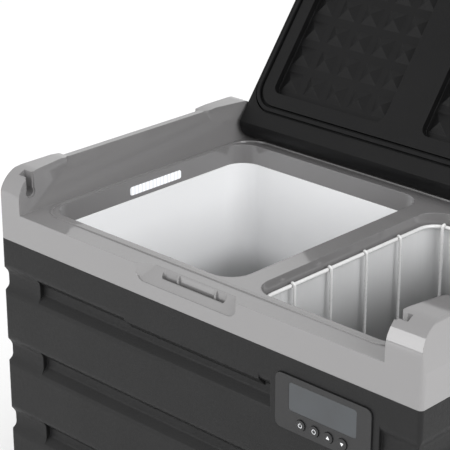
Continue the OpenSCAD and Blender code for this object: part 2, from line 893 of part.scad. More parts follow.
module fan_motor() {
    color("#3b3b3e") {
        bar_x(fan_x0 + fan_t - 3, fan_x0 + fan_t, fan_y, fan_z, 16);
        bar_x(fan_x0 + 7, fan_x0 + fan_t - 3, fan_y, fan_z, 12);
        bar_x(fan_x0 + 2.5, fan_x0 + 7, fan_y, fan_z, shaft_r);
    }
}

module fan_impeller() {
    color("#151516") {
        difference() {
            bar_x(fan_x0 + 1, fan_x0 + fan_t - 4, fan_y, fan_z, hub_r);
            bar_x(fan_x0 + 6, fan_x0 + fan_t - 3, fan_y, fan_z, hub_r - 2.5);
            bar_x(fan_x0 + 2, fan_x0 + 7, fan_y, fan_z, shaft_r + skim);
        }
        for (i = [0:blades - 1]) {
            translate([fan_x0 + 10.5, fan_y, fan_z]) rotate([i * 360 / blades, 0, 0])
                translate([0, hub_r - 0.6, 0]) rotate([0, blade_twist, 0])
                    translate([-blade_t / 2, 0, -blade_l / 2])
                        cube([blade_t, fan_r - hub_r, blade_l]);
        }
    }
}

module inverter_board() {
    top = inv_z + board_t;
    color("#2c6e49") block(inv_x0, inv_x1, inv_y0, inv_y1, inv_z, top);
    color("#202124") {
        for (i = [0:2]) {
            translate([inv_x0 + 14 + i * 20, inv_y0 + 14, top])
                cylinder(h = capacitor_h, r = capacitor_r);
        }
        // Choke
        block(inv_x1 - 32, inv_x1 - 8, inv_y0 + 8, inv_y0 + 28, top, top + 10.4);
        // Stand-offs
        for (x = [inv_x0 + 4, inv_x1 - 4], y = [inv_y0 + 4, inv_y1 - 4]) {
            translate([x, y, z_base]) cylinder(h = inv_z - z_base, r = 2.5);
        }
    }
}

module heat_sink() {
    color("#9fa3a7") {
        z = inv_z + board_t + 0.2;
        block(inv_x0 + 6, inv_x1 - 6, sink_y0, sink_y1, z, z + 3.2);
        for (i = [0:sink_fins - 1]) {
            x = inv_x0 + 8 + i * sink_pitch;
            block(x, x + 1.5, sink_y0, sink_y1, z + 3.2, z + sink_h);
        }
    }
}

module control_bezel() {
    x0 = panel_x - panel_l / 2;
    x1 = panel_x + panel_l / 2;
    z0 = panel_z - panel_h / 2;
    z1 = panel_z + panel_h / 2;
    color("#1e1e20") difference() {
        along_y(panel_face, panel_face + panel_d) round_rect(x0, x1, z0, z1, 7.8);
        along_y(panel_face + 4, panel_face + panel_d + over)
            round_rect(x0 + panel_wall, x1 - panel_wall, z0 + panel_wall, z1 - panel_wall, 4.8);
        along_y(panel_face - over, panel_face + window_d)
            round_rect(panel_x - window_half, panel_x + window_half, window_z0, window_z1, 3.2);
        block(panel_x - window_half + 6, panel_x + window_half - 6, panel_face, panel_face + 6,
              window_z0 + 5, window_z1 - 5);
        for (i = [0:3]) {
            bar_y(panel_face - over, panel_face + 6, button_x(i), button_z, button_r + gap);
        }
    }
}

function button_x(i) = panel_x + (i - 1.5) * button_pitch;

module display_window() {
    color("#0c1518") along_y(panel_face + 0.2, panel_face + 1.4)
        round_rect(panel_x - window_half + 0.2, panel_x + window_half - 0.2,
                   window_z0 + 0.2, window_z1 - 0.2, 3);
}

module display_board() {
    y = panel_face + 9.4;
    color("#2c6e49") block(panel_x - panel_l / 2 + 5, panel_x + panel_l / 2 - 5, y, y + board_t,
                           panel_z - panel_h / 2 + 4, panel_z + panel_h / 2 - 4);
    color("#101214") block(panel_x - window_half + 8, panel_x + window_half - 8,
                           panel_face + 2, y, window_z0 + 6, window_z1 - 6);
}

// A push button: cap through the bezel, retaining flange and stem behind it
module button(i) {
    x = button_x(i);
    flange_y = panel_face + 4.3;
    color("#2f3033") {
        bar_y(panel_face - 1.4, flange_y, x, button_z, button_r);
        bar_y(flange_y, flange_y + 1, x, button_z, button_r + 1.2);
        bar_y(flange_y + 1, panel_face + 7.9, x, button_z, 2);
    }
}

module power_button() {
    button(0);
}

module set_button() {
    button(1);
}

module up_button() {
    button(2);
}

module down_button() {
    button(3);
}

module dc_inlet() {
    color("#1e1e20") difference() {
        union() {
            along_x(x_end - 28, x_end) inlet_plan(-0.2, 0.8);
            along_x(x_end, x_end + 2) inlet_plan(4, 5);
        }
        along_x(x_end - 18, x_end + 3) inlet_plan(-6, 4);
    }
}

// Outline of the inlet's hole in the shell, grown by e
module inlet_plan(e, r) {
    round_rect(inlet_y - inlet_l / 2 - e, inlet_y + inlet_l / 2 + e,
               inlet_z - inlet_h / 2 - e, inlet_z + inlet_h / 2 + e, r);
}

module inlet_contacts() {
    color("#c9a24b") for (y = [inlet_y - 6, inlet_y + 6]) {
        bar_x(x_end - 18, x_end - 6, y, inlet_z, 1.6);
    }
}

// Where a grille's four screws go
module grille_spots(l) {
    for (y = [-l / 2 + screw_in, l / 2 - screw_in],
         z = [vent_z0 + screw_in, vent_z0 + vent_h - screw_in]) {
        translate([0, y, z]) children();
    }
}

// A louvred panel filling a vent opening of length l, drawn flat in the YZ plane
module louvres(l) {
    difference() {
        block(0, grille_t, -l / 2 + gap, l / 2 - gap, vent_z0 + gap, vent_z0 + vent_h - gap);
        for (i = [0:slot_count - 1]) {
            z = vent_z0 + 11 + i * slot_pitch;
            block(-over, grille_t + over, -l / 2 + slot_side, l / 2 - slot_side, z, z + slot_h);
        }
        grille_spots(l) {
            bar_x(9, grille_t + over, 0, 0, screw_head_r + 0.4);
            bar_x(-over, grille_t + over, 0, 0, screw_r + skim);
        }
    }
}

module vent_grille() {
    color("#262628") translate([x_end - grille_t - 0.6, fan_y, 0]) louvres(vent_l);
}

module rear_grille() {
    color("#262628") translate([rear_vent_x, y_end - grille_t - 0.6, 0]) rotate([0, 0, 90])
        louvres(rear_vent_l);
}

// Pan-head screw along X with its head outward
module grille_screw() {
    difference() {
        bar_x(9.2, 11.4, 0, 0, screw_head_r);
        block(10.4, 12, -0.5, 0.5, -2, 2);
        block(10.4, 12, -2, 2, -0.5, 0.5);
    }
    bar_x(0.5, 9.2, 0, 0, screw_r);
}

module grille_screws() {
    color("#8c8f92") {
        translate([x_end - grille_t - 0.6, fan_y, 0]) grille_spots(vent_l) grille_screw();
        translate([rear_vent_x, y_end - grille_t - 0.6, 0]) rotate([0, 0, 90])
            grille_spots(rear_vent_l) grille_screw();
    }
}

module base_screws() {
    color("#8c8f92") for (p = screw_spots()) {
        translate([p[0], p[1], z_pan - base_head_h]) cylinder(h = base_head_h, r = 3.5);
        translate([p[0], p[1], z_pan]) cylinder(h = pan_t + 2, r = screw_r - skim);
    }
}

// Section of the lid, inset by a wall w, in closed position
module lid_section(w) {
    r = lid_r - w;
    for (y = [-pivot_y, pivot_y]) {
        translate([y, pivot_z]) circle(r, $fn = 96);
    }
    translate([-pivot_y, pivot_z - r]) square([2 * pivot_y, 2 * r]);
}

// Distance from the rear pin line towards the front of the closed lid
function lid_y(s) = pivot_y - s;

// Plan outline of the gasket's track, shrunk by d
module track_plan(d) {
    round_rect(lid_x0 + 4 + d, lid_x1 - 4 - d, -pivot_y + rim_s + d, pivot_y - rim_s - d,
               gasket_r - d);
}

module track(z0, z1, d) {
    translate([0, 0, z0]) linear_extrude(z1 - z0) track_plan(d);
}

module lid_shell() {
    color("#2f2f31") opened() difference() {
        union() {
            difference() {
                along_x(lid_x0, lid_x1) lid_section(0);
                block(lid_x0 - over, lid_x1 + over, -y_end - 20, y_end + 20,
                      pivot_z - 40, lid_rim_z);
                difference() {
                    along_x(lid_x0 + lid_t, lid_x1 - lid_t) lid_section(lid_t);
                    block(lid_x0, lid_x1, -y_end - 20, y_end + 20,
                          pivot_z - 40, lid_rim_z + lid_t);
                }
            }
            for (y = [-pivot_y, pivot_y]) {
                bar_x(lid_x0 + over, lid_x0 + boss_l, y, pivot_z, boss_r);
                bar_x(lid_x1 - boss_l, lid_x1 - over, y, pivot_z, boss_r);
            }
            intersection() {
                along_x(latch_x0 - 6, latch_x1 + 6) lid_section(0.5);
                block(latch_x0 - 6, latch_x1 + 6, -y_end - 20, bay_y + 3,
                      lid_rim_z, pivot_z + 20);
            }
        }
        track(lid_rim_z - over, lid_rim_z + lid_t + over, 0);
        for (y = [-pivot_y, pivot_y]) {
            bar_x(lid_x0 - over, lid_x0 + boss_l - boss_end, y, pivot_z, keyhole_w / 2);
            bar_x(lid_x1 - boss_l + boss_end, lid_x1 + over, y, pivot_z, keyhole_w / 2);
        }
        latch_cutout();
    }
}

module latch_cutout() {
    block(latch_x0, latch_x1, -y_end - 20, bay_y, pivot_z - 30, latch_z);
    bar_x(latch_x0, latch_x1, latch_y, latch_z, barrel_r + 1.2);
    bar_x(latch_x0 - 5, latch_x1 + 5, latch_y, latch_z, latch_pin_r + 0.05);
}

module lid_panel() {
    top = lid_rim_z + waffle_d;
    color("#343436") opened() difference() {
        union() {
            track(lid_rim_z + 6, lid_rim_z + 8, 0.3);
            track(lid_rim_z, lid_rim_z + 8, gasket_w + 0.5);
            for (w = waffle_x) {
                waffle_pan(w, 2, lid_rim_z, top + 2);
            }
        }
        difference() {
            track(lid_rim_z + 2.5, lid_rim_z + 9, gasket_w + 3);
            for (w = waffle_x) {
                waffle_pan(w, 2, lid_rim_z, top + 3);
            }
        }
        for (w = waffle_x) {
            difference() {
                waffle_pan(w, 0, lid_rim_z - over, top);
                pyramids(w, top);
            }
        }
    }
}

// One waffle field's recess, grown by e
module waffle_pan(w, e, z0, z1) {
    slab(w[0] - e, w[1] + e, lid_y(waffle_s1) - e, lid_y(waffle_s0) + e, z0, z1, 12 + e);
}

// Five by eight square pyramids standing on the recess floor at height z
module pyramids(w, z) {
    for (i = [0:4], j = [0:7]) {
        translate([(w[0] + w[1]) / 2 + (i - 2) * pyramid_pitch,
                   lid_y((waffle_s0 + waffle_s1) / 2) + (j - 3.5) * pyramid_pitch, z + 0.5])
            rotate([180, 0, 45])
                cylinder(h = pyramid_h, r1 = pyramid_base / sqrt(2), r2 = 0.4, $fn = 4);
    }
}

module lid_foam() {
    color("#e9dfb0") opened()
        slab(lid_x0 + boss_l + 3, lid_x1 - boss_l - 3, -pivot_y + 2, pivot_y - 12,
             lid_rim_z + waffle_d + 3, pivot_z + lid_r - lid_t - skim, 12);
}

module lid_gasket() {
    color("#1d1d1e") opened() difference() {
        union() {
            track(lid_rim_z + gasket_low, lid_rim_z + 5.8, 0.4);
            track(lid_rim_z - 2, lid_rim_z + gasket_low, bulb_in);
        }
        track(lid_rim_z + gasket_low - over, lid_rim_z + 7, gasket_w);
        track(lid_rim_z - 3, lid_rim_z + gasket_low, bulb_in + bulb_w);
    }
}

// A pin's end inside an ear, with two flats so that it passes the keyhole's slot
module flat_end(x0, x1) {
    intersection() {
        bar_x(x0, x1, pivot_y, pivot_z, pin_d / 2);
        block(x0, x1, pivot_y - pin_flat / 2, pivot_y + pin_flat / 2,
              pivot_z - pin_d, pivot_z + pin_d);
    }
}

module hinge_pins() {
    color("#b9bbbd") {
        flat_end(x_wall_l - pin_reach, x_wall_l + gap);
        bar_x(x_wall_l + gap, lid_x0 + boss_l - boss_end - 0.5, pivot_y, pivot_z, pin_d / 2);
        flat_end(x_wall_r - gap, x_wall_r + pin_reach);
        bar_x(lid_x1 - boss_l + boss_end + 0.5, x_wall_r - gap, pivot_y, pivot_z, pin_d / 2);
    }
}

module front_pins() {
    color("#b9bbbd") opened() {
        bar_x(x_wall_l - pin_reach + 1, lid_x0 + boss_l - boss_end - 0.2,
              -pivot_y, pivot_z, front_pin_r);
        bar_x(lid_x1 - boss_l + boss_end + 0.2, x_wall_r + pin_reach - 1,
              -pivot_y, pivot_z, front_pin_r);
    }
}

// Handle plate that closes the bay, with the tongue that drops into the rim's slot
module latch_handle() {
    color("#2a2a2c") opened() {
        difference() {
            union() {
                difference() {
                    intersection() {
                        along_x(latch_x0 + gap, latch_x1 - gap) lid_section(0);
                        block(latch_x0, latch_x1, -y_end - 20, bay_y - gap,
                              pivot_z - 20, latch_z);
                    }
                    along_x(latch_x0 - over, latch_x1 + over) lid_section(handle_t);
                }
                bar_x(latch_x0 + gap, latch_x1 - gap, latch_y, latch_z, barrel_r);
            }
            bar_x(latch_x0 - over, latch_x1 + over, latch_y, latch_z, latch_pin_r + 0.05);
            bar_x(spring_x0, spring_x1, latch_y + 1.5, latch_z - 0.5, barrel_r + 0.5);
            along_x(latch_x0 + 8, latch_x1 - 8) round_rect(-y_end - 9, -y_end - 2.6,
                                                          pivot_z - 14, pivot_z - 5, 3);
        }
        // Tongue
        slab(slot_rib_x[0] + 4, slot_rib_x[1] - 4,
             -y_end + (slot_y0 + slot_y1 - tongue_t) / 2,
             -y_end + (slot_y0 + slot_y1 + tongue_t) / 2,
             z_seam + 24, pivot_z - 15, 1.7);
    }
}

module latch_pin() {
    color("#b9bbbd") opened()
        bar_x(latch_x0 - 4.8, latch_x1 + 4.8, latch_y, latch_z, latch_pin_r);
}

// Torsion spring on the handle's pin, as a row of close turns
module latch_spring() {
    wire = 1.1;
    turns = floor((spring_x1 - spring_x0 - 2) / (wire * 1.25));
    color("#c4c6c8") opened() for (i = [0:turns - 1]) {
        translate([spring_x0 + 1.5 + i * wire * 1.25, latch_y, latch_z]) rotate([0, 90, 0])
            rotate_extrude() translate([latch_pin_r + wire / 2 + 0.3, 0]) circle(wire / 2, $fn = 16);
    }
}

module basket_rim() {
    r = rim_wire / 2;
    z = basket_z;
    color("#e4e4e4") {
        for (y = [by0, by1]) {
            bar_x(bx0 + basket_r, bx1 - basket_r, y, z, r);
        }
        for (x = [bx0, bx1]) {
            bar_y(by0 + basket_r, by1 - basket_r, x, z, r);
        }
        for (c = [[bx0 + basket_r, by0 + basket_r, 180], [bx1 - basket_r, by0 + basket_r, 270],
                  [bx1 - basket_r, by1 - basket_r, 0], [bx0 + basket_r, by1 - basket_r, 90]]) {
            translate([c[0], c[1], z]) rotate([0, 0, c[2]]) rotate_extrude(angle = 90)
                translate([basket_r, 0]) circle(r, $fn = 24);
        }
    }
}

// How far an upright at p along a side from low to high stands in, as it follows the corners
function set_in(p, low, high) = let (d = max(0, low + basket_r - p, p - high + basket_r))
    basket_r - sqrt(pow(basket_r - upright_in, 2) - d * d);
function side_in(y) = set_in(y, by0, by1);
function end_in(x) = set_in(x, bx0, bx1);

module basket_uprights() {
    r = basket_wire / 2;
    z0 = upper_wire_z + r;
    h = basket_z - z0;
    color("#dcdcdc") {
        for (y = upright_y, x = [bx0 + side_in(y), bx1 - side_in(y)]) {
            translate([x, y, z0]) cylinder(h = h, r = r, $fn = 24);
        }
        for (x = upright_x, y = [by0 + end_in(x), by1 - end_in(x)]) {
            translate([x, y, z0]) cylinder(h = h, r = r, $fn = 24);
        }
    }
}

module basket_floor() {
    r = basket_wire / 2;
    color("#dcdcdc") {
        for (y = upright_y) {
            bar_x(bx0 + side_in(y), bx1 - side_in(y), y, upper_wire_z, r);
        }
        for (x = upright_x) {
            bar_y(by0 + end_in(x), by1 - end_in(x), x, lower_wire_z, r);
        }
    }
}

body_shell();
top_frame();
base_pan();
rubber_feet();
cabinet_foam();
left_liner();
right_liner();
left_evaporator();
right_evaporator();
led_lens();
led_board();
temperature_probes();
compressor();
compressor_base();
compressor_mounts();
condenser();
filter_dryer();
refrigerant_lines();
fan_frame();
fan_motor();
fan_impeller();
inverter_board();
heat_sink();
control_bezel();
display_window();
display_board();
power_button();
set_button();
up_button();
down_button();
dc_inlet();
inlet_contacts();
vent_grille();
rear_grille();
grille_screws();
base_screws();
lid_shell();
lid_panel();
lid_foam();
lid_gasket();
hinge_pins();
front_pins();
latch_handle();
latch_pin();
latch_spring();
basket_rim();
basket_uprights();
basket_floor();
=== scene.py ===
import json
import math

import bmesh
import bpy
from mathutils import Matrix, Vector

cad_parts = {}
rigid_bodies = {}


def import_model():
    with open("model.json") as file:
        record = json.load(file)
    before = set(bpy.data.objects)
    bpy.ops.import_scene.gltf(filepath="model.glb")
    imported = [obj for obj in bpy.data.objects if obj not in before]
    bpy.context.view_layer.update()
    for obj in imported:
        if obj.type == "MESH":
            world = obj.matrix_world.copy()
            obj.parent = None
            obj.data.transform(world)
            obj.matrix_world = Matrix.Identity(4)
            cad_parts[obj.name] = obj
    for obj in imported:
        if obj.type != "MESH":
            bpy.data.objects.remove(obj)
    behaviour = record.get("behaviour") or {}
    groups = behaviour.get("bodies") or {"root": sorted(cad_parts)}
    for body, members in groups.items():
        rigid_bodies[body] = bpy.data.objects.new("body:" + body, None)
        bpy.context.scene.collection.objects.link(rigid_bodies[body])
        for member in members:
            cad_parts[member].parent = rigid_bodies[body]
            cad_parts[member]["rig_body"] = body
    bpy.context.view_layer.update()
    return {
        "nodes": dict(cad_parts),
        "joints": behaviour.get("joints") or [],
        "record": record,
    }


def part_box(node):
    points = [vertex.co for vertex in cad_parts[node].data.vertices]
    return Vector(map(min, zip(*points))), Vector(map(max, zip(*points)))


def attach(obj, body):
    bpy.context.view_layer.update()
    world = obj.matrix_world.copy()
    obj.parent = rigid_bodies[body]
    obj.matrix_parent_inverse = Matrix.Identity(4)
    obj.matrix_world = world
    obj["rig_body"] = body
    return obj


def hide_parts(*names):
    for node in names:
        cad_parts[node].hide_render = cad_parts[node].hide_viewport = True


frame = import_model()

MM = 0.001

# Points of a CAD mesh closer than this are one point, and flat faces turn less than this
JOIN_DISTANCE = 0.02 * MM
FLAT_DEGREES = 0.05

# Rounding of the lid's ends. Edges beside a pin's bore stay as they are
LID_ROUND = 3.4 * MM
ON_END = 0.03 * MM
BORE_ROOM = 12 * MM
SHARP_DEGREES = 25

# Basket: wires each way, their thickness, spacing and bends
WIRE_RADIUS = 1.9 * MM
WIRES_EACH_WAY = 4
SIDE_WIRE_PITCH = 62 * MM
SIDE_WIRE_SHIFT = -5 * MM
END_WIRE_PITCH = 54 * MM
RIM_CORNER = 26 * MM
RIM_CORNER_STEPS = 12
HOOK_BEND = 2.6 * MM
HOOK_START = 0.5 * MM
HOOK_SINK = 0.45
FLOOR_BEND = 8 * MM

# A wire's rounded end, as parts of its radius
END_REACH = 0.6
END_RADIUS = 0.55

# A direction whose z is larger than this counts as upright
NEARLY_UPRIGHT = 0.9

# Signs on the keys
SIGN_DEPTH = 0.1 * MM
SIGN_SUNK = 0.02 * MM
SIGN_RING = 2.6 * MM
SIGN_STROKE = 0.5 * MM
SIGN_BAR_LOW = 0.6 * MM
SIGN_BAR_TOP = 3.4 * MM
ARROW_TIP = 2.2 * MM
ARROW_BASE = 1.4 * MM

# The middle of a noise, where most of its values lie
NOISE_LOW = 0.3
NOISE_HIGH = 0.7


# ---------------------------------------------------------------- materials

class Look:
    """A material with a Principled shader, and short ways to add nodes to it."""

    def __init__(self, name, color, roughness, metallic=0.0):
        self.material = bpy.data.materials.new(name)
        self.material.use_nodes = True
        self.tree = self.material.node_tree
        self.shader = self.tree.nodes["Principled BSDF"]
        self.color = color
        self.set("Base Color", (*color, 1.0))
        self.set("Roughness", roughness)
        self.set("Metallic", metallic)
        self.set("IOR", 1.5)
        self.coords = self.tree.nodes.new("ShaderNodeTexCoord")
        self.normal = None

    def set(self, socket, value):
        self.shader.inputs[socket].default_value = value

    def node(self, kind, **settings):
        made = self.tree.nodes.new("ShaderNode" + kind)
        for key, value in settings.items():
            setattr(made, key, value)
        return made

    def link(self, source, target):
        self.tree.links.new(source, target)

    def stretched(self, scale):
        """Object coordinates multiplied by a vector."""
        mapping = self.node("Mapping")
        mapping.inputs["Scale"].default_value = scale
        self.link(self.coords.outputs["Object"], mapping.inputs["Vector"])
        return mapping.outputs["Vector"]

    def noise(self, size, detail=2.0, stretch=(1, 1, 1)):
        """Noise whose features are about size metres across."""
        made = self.node("TexNoise")
        made.inputs["Scale"].default_value = 1.0 / size
        made.inputs["Detail"].default_value = detail
        self.link(self.stretched(stretch), made.inputs["Vector"])
        return made.outputs["Fac"]

    def cells(self, size):
        """Cell pattern whose cells are about size metres across."""
        made = self.node("TexVoronoi")
        made.inputs["Scale"].default_value = 1.0 / size
        self.link(self.coords.outputs["Object"], made.inputs["Vector"])
        return made.outputs["Distance"]

    def soften(self, radius):
        """Shades every edge as rounded, as a mould leaves it, to about radius metres."""
        made = self.node("Bevel", samples=8)
        made.inputs["Radius"].default_value = radius
        self.normal = made.outputs["Normal"]
        self.link(self.normal, self.shader.inputs["Normal"])

    def bump(self, height, depth, strength=1.0):
        """Relief of depth metres along height, on top of rounded edges and earlier relief."""
        made = self.node("Bump")
        made.inputs["Distance"].default_value = depth
        made.inputs["Strength"].default_value = strength
        self.link(height, made.inputs["Height"])
        if self.normal:
            self.link(self.normal, made.inputs["Normal"])
        self.normal = made.outputs["Normal"]
        self.link(self.normal, self.shader.inputs["Normal"])

    def vary_color(self, source, dark, light):
        """The base colour runs from dark to light times itself along source."""
        ramp = self.node("ValToRGB")
        stops = ramp.color_ramp.elements
        for stop, place, part in zip(stops, (NOISE_LOW, NOISE_HIGH), (dark, light)):
            stop.position = place
            stop.color = (*[c * part for c in self.color], 1)
        self.link(source, ramp.inputs["Fac"])
        self.link(ramp.outputs["Color"], self.shader.inputs["Base Color"])

    def paint_shade_below(self, low, high, dark):
        """Painted shade: the colour gets darker below a height, as shade falls in the depth of a
        bin.
        """
        split = self.node("SeparateXYZ")
        self.link(self.coords.outputs["Object"], split.inputs["Vector"])
        remap = self.node("MapRange", interpolation_type="SMOOTHERSTEP")
        remap.inputs["From Min"].default_value = low
        remap.inputs["From Max"].default_value = high
        remap.inputs["To Min"].default_value = dark
        remap.inputs["To Max"].default_value = 1.0
        self.link(split.outputs["Z"], remap.inputs["Value"])
        scaled = self.node("VectorMath", operation="SCALE")
        before = self.shader.inputs["Base Color"].links[0].from_socket
        self.link(before, scaled.inputs["Vector"])
        self.link(remap.outputs["Result"], scaled.inputs["Scale"])
        self.link(scaled.outputs["Vector"], self.shader.inputs["Base Color"])

    def vary_rough(self, source, low, high):
        """The roughness runs from low to high along source."""
        remap = self.node("MapRange")
        remap.inputs["From Min"].default_value = NOISE_LOW
        remap.inputs["From Max"].default_value = NOISE_HIGH
        remap.inputs["To Min"].default_value = low
        remap.inputs["To Max"].default_value = high
        self.link(source, remap.inputs["Value"])
        self.link(remap.outputs["Result"], self.shader.inputs["Roughness"])


def gloss_grey():
    """Light grey glossy moulding of the top frame."""
    look = Look("frame_grey", (0.153, 0.150, 0.151), 0.34)
    look.set("Specular IOR Level", 0.2)
    look.set("Coat Weight", 1.0)
    look.set("Coat IOR", 1.7)
    look.set("Coat Roughness", 0.06)
    look.vary_color(look.noise(0.12, 3), 0.985, 1.015)
    look.vary_rough(look.noise(0.004, 4), 0.31, 0.38)
    look.soften(0.0016)
    look.bump(look.noise(0.0015, 2), 0.000004)
    return look.material


def grained(name, color, roughness, grain, depth, radius=0.0008, shine=0.5):
    """Dark moulding or enamel with a fine leathery grain."""
    look = Look(name, color, roughness)
    look.set("Specular IOR Level", shine)
    look.vary_color(look.noise(0.05, 4), 0.93, 1.08)
    look.vary_rough(look.noise(grain * 3, 3), roughness - 0.05, roughness + 0.07)
    look.soften(radius)
    look.bump(look.cells(grain), depth, 0.8)
    look.bump(look.noise(grain * 0.6, 4), depth * 0.6)
    return look.material


def white_gloss():
    """White moulding of the left bin, with painted shade that darkens it towards its floor."""
    look = Look("liner_white", (0.77, 0.775, 0.785), 0.25)
    look.set("Coat Weight", 0.2)
    look.set("Coat Roughness", 0.2)
    look.vary_color(look.noise(0.15, 3), 0.99, 1.005)
    # Painted shade: the white turns darker towards the bin's floor.
    look.paint_shade_below(0.195, 0.265, 0.42)
    look.vary_rough(look.noise(0.01, 3), 0.3, 0.36)
    look.soften(0.001)
    look.bump(look.noise(0.05, 1), 0.0001)
    return look.material


def liner_aluminium():
    """Sheet drawn upwards: fine streaks that run up the walls, with painted shade towards the
    floor.
    """
    look = Look("liner_aluminium", (0.86, 0.865, 0.87), 0.38, metallic=0.45)
    streaks = look.noise(0.0015, 4, stretch=(1, 1, 0.03))
    look.vary_color(streaks, 0.98, 1.01)
    # Painted shade: the walls turn darker towards the bin's floor.
    look.paint_shade_below(0.24, 0.37, 0.36)
    look.vary_rough(streaks, 0.34, 0.42)
    look.soften(0.001)
    look.bump(streaks, 0.000006)
    return look.material


def metal(name, color, roughness):
    """Bare metal with a fine grain."""
    look = Look(name, color, roughness, metallic=1.0)
    grain = look.noise(0.0008, 4)
    look.vary_color(look.noise(0.01, 4), 0.88, 1.06)
    look.vary_rough(grain, roughness - 0.06, roughness + 0.08)
    look.bump(grain, 0.00001)
    return look.material


def coated_wire():
    """Wire dipped in a pale plastic coating."""
    look = Look("coated_wire", (0.62, 0.62, 0.62), 0.35)
    look.set("Coat Weight", 0.2)
    look.vary_color(look.noise(0.02, 3), 0.97, 1.02)
    look.vary_rough(look.noise(0.004, 3), 0.24, 0.36)
    look.bump(look.noise(0.002, 3), 0.00003)
    return look.material


def rubber():
    """Matt black rubber."""
    look = Look("rubber", (0.006, 0.006, 0.0063), 0.6)
    look.set("Specular IOR Level", 0.12)
    look.vary_rough(look.noise(0.002, 3), 0.52, 0.68)
    look.vary_color(look.noise(0.02, 3), 0.85, 1.2)
    look.soften(0.0008)
    look.bump(look.noise(0.0008, 3), 0.00003)
    return look.material


def foam():
    """Yellowish insulation with fine cells."""
    look = Look("foam", (0.72, 0.62, 0.36), 0.85)
    look.vary_color(look.noise(0.01, 5), 0.85, 1.08)
    look.bump(look.cells(0.0012), 0.0004)
    return look.material


def lamp_lens():
    """Frosted lens that glows in bands along its length, 6.3 mm apart."""
    look = Look("lamp_lens", (0.62, 0.63, 0.65), 0.35)
    bands = look.node("TexWave", wave_type="BANDS", bands_direction="Y")
    bands.inputs["Scale"].default_value = 50.0
    bands.inputs["Distortion"].default_value = 0.0
    look.link(look.coords.outputs["Object"], bands.inputs["Vector"])
    glow = look.node("MapRange")
    glow.inputs["To Min"].default_value = 0.2
    glow.inputs["To Max"].default_value = 0.5
    look.link(bands.outputs["Fac"], glow.inputs["Value"])
    look.link(glow.outputs["Result"], look.shader.inputs["Emission Strength"])
    look.set("Emission Color", (0.96, 0.98, 1.0, 1.0))
    look.bump(look.noise(0.001, 2), 0.00002)
    return look.material


def display_glass():
    """Dark glossy window over the display."""
    look = Look("display_glass", (0.012, 0.016, 0.02), 0.08)
    look.set("Coat Weight", 0.5)
    look.vary_rough(look.noise(0.01, 3), 0.05, 0.12)
    look.vary_color(look.noise(0.02, 2), 0.8, 1.2)
    return look.material


def circuit_board():
    """Green board with faint streaks."""
    look = Look("circuit_board", (0.02, 0.11, 0.05), 0.35)
    look.vary_color(look.noise(0.002, 2, stretch=(1, 0.2, 1)), 0.6, 1.5)
    look.bump(look.noise(0.002, 1), 0.00008)
    return look.material


def printed_white():
    """White print of the signs on the keys."""
    look = Look("marks_white", (0.75, 0.76, 0.78), 0.4)
    look.vary_color(look.noise(0.002, 2), 0.95, 1.03)
    return look.material


def make_materials():
    """The material of each slot, and of the signs on the keys."""
    return {
        "body_plastic": grained("body_charcoal", (0.0096, 0.0096, 0.0098), roughness=0.46,
                                grain=0.0014, depth=0.00016, radius=0.0016, shine=0.16),
        "frame_plastic": gloss_grey(),
        "lid_plastic": grained("lid_black", (0.0045, 0.0045, 0.0047), roughness=0.4,
                               grain=0.0014, depth=0.00018, radius=0.0012, shine=0.13),
        "trim_plastic": grained("trim_black", (0.012, 0.012, 0.0125), roughness=0.42,
                                grain=0.0009, depth=0.00004, radius=0.0007, shine=0.35),
        "white_liner": white_gloss(),
        "liner_metal": liner_aluminium(),
        "coated_wire": coated_wire(),
        "lens": lamp_lens(),
        "display_glass": display_glass(),
        "rubber": rubber(),
        "foam": foam(),
        "steel": metal("steel", (0.55, 0.56, 0.57), 0.3),
        "black_metal": grained("enamel_black", (0.012, 0.012, 0.013), roughness=0.3,
                               grain=0.002, depth=0.00003),
        "fins": metal("fins", (0.66, 0.67, 0.68), 0.35),
        "copper": metal("copper", (0.72, 0.35, 0.18), 0.32),
        "brass": metal("contacts", (0.75, 0.55, 0.25), 0.25),
        "board": circuit_board(),
        "marks": printed_white(),
    }


# ---------------------------------------------------------------- camera and stage

def make_camera():
    """A long lens from the front right and above, close enough to crop the cooler."""
    azimuth = math.radians(43.88)
    elevation = math.radians(22.25)
    aim = Vector((11.3, -164.8, 448.2)) * MM
    distance = 1.9
    back = Vector((math.sin(azimuth) * math.cos(elevation),
                   -math.cos(azimuth) * math.cos(elevation), math.sin(elevation)))
    data = bpy.data.cameras.new("camera")
    data.sensor_width = 36
    data.lens = 140.4
    camera = bpy.data.objects.new("camera", data)
    camera.location = aim + back * distance
    camera.rotation_mode = "QUATERNION"
    camera.rotation_quaternion = (-back).to_track_quat("-Z", "Y")
    bpy.context.scene.collection.objects.link(camera)
    bpy.context.scene.camera = camera


def make_stage():
    """Pale floor, white surroundings and two broad soft lights."""
    world = bpy.data.worlds.new("surroundings")
    world.use_nodes = True
    background = world.node_tree.nodes["Background"]
    background.inputs["Color"].default_value = (1, 1, 1, 1)
    background.inputs["Strength"].default_value = 1.0
    bpy.context.scene.world = world

    mesh = bpy.data.meshes.new("floor")
    half = 6.0
    mesh.from_pydata([(-half, -half, 0), (half, -half, 0), (half, half, 0), (-half, half, 0)],
                     [], [(0, 1, 2, 3)])
    floor = bpy.data.objects.new("floor", mesh)
    bpy.context.scene.collection.objects.link(floor)
    look = Look("floor_pale", (0.9, 0.9, 0.9), 0.7)
    look.vary_color(look.noise(0.4, 2), 0.99, 1.01)
    floor.data.materials.append(look.material)

    middle = Vector((0, 0, 0.35))
    add_light("key", Vector((-0.9, -3.2, 1.5)), middle, size=2.6, power=74)
    add_light("fill", Vector((3.0, -0.3, 1.9)), middle, size=1.8, power=86)


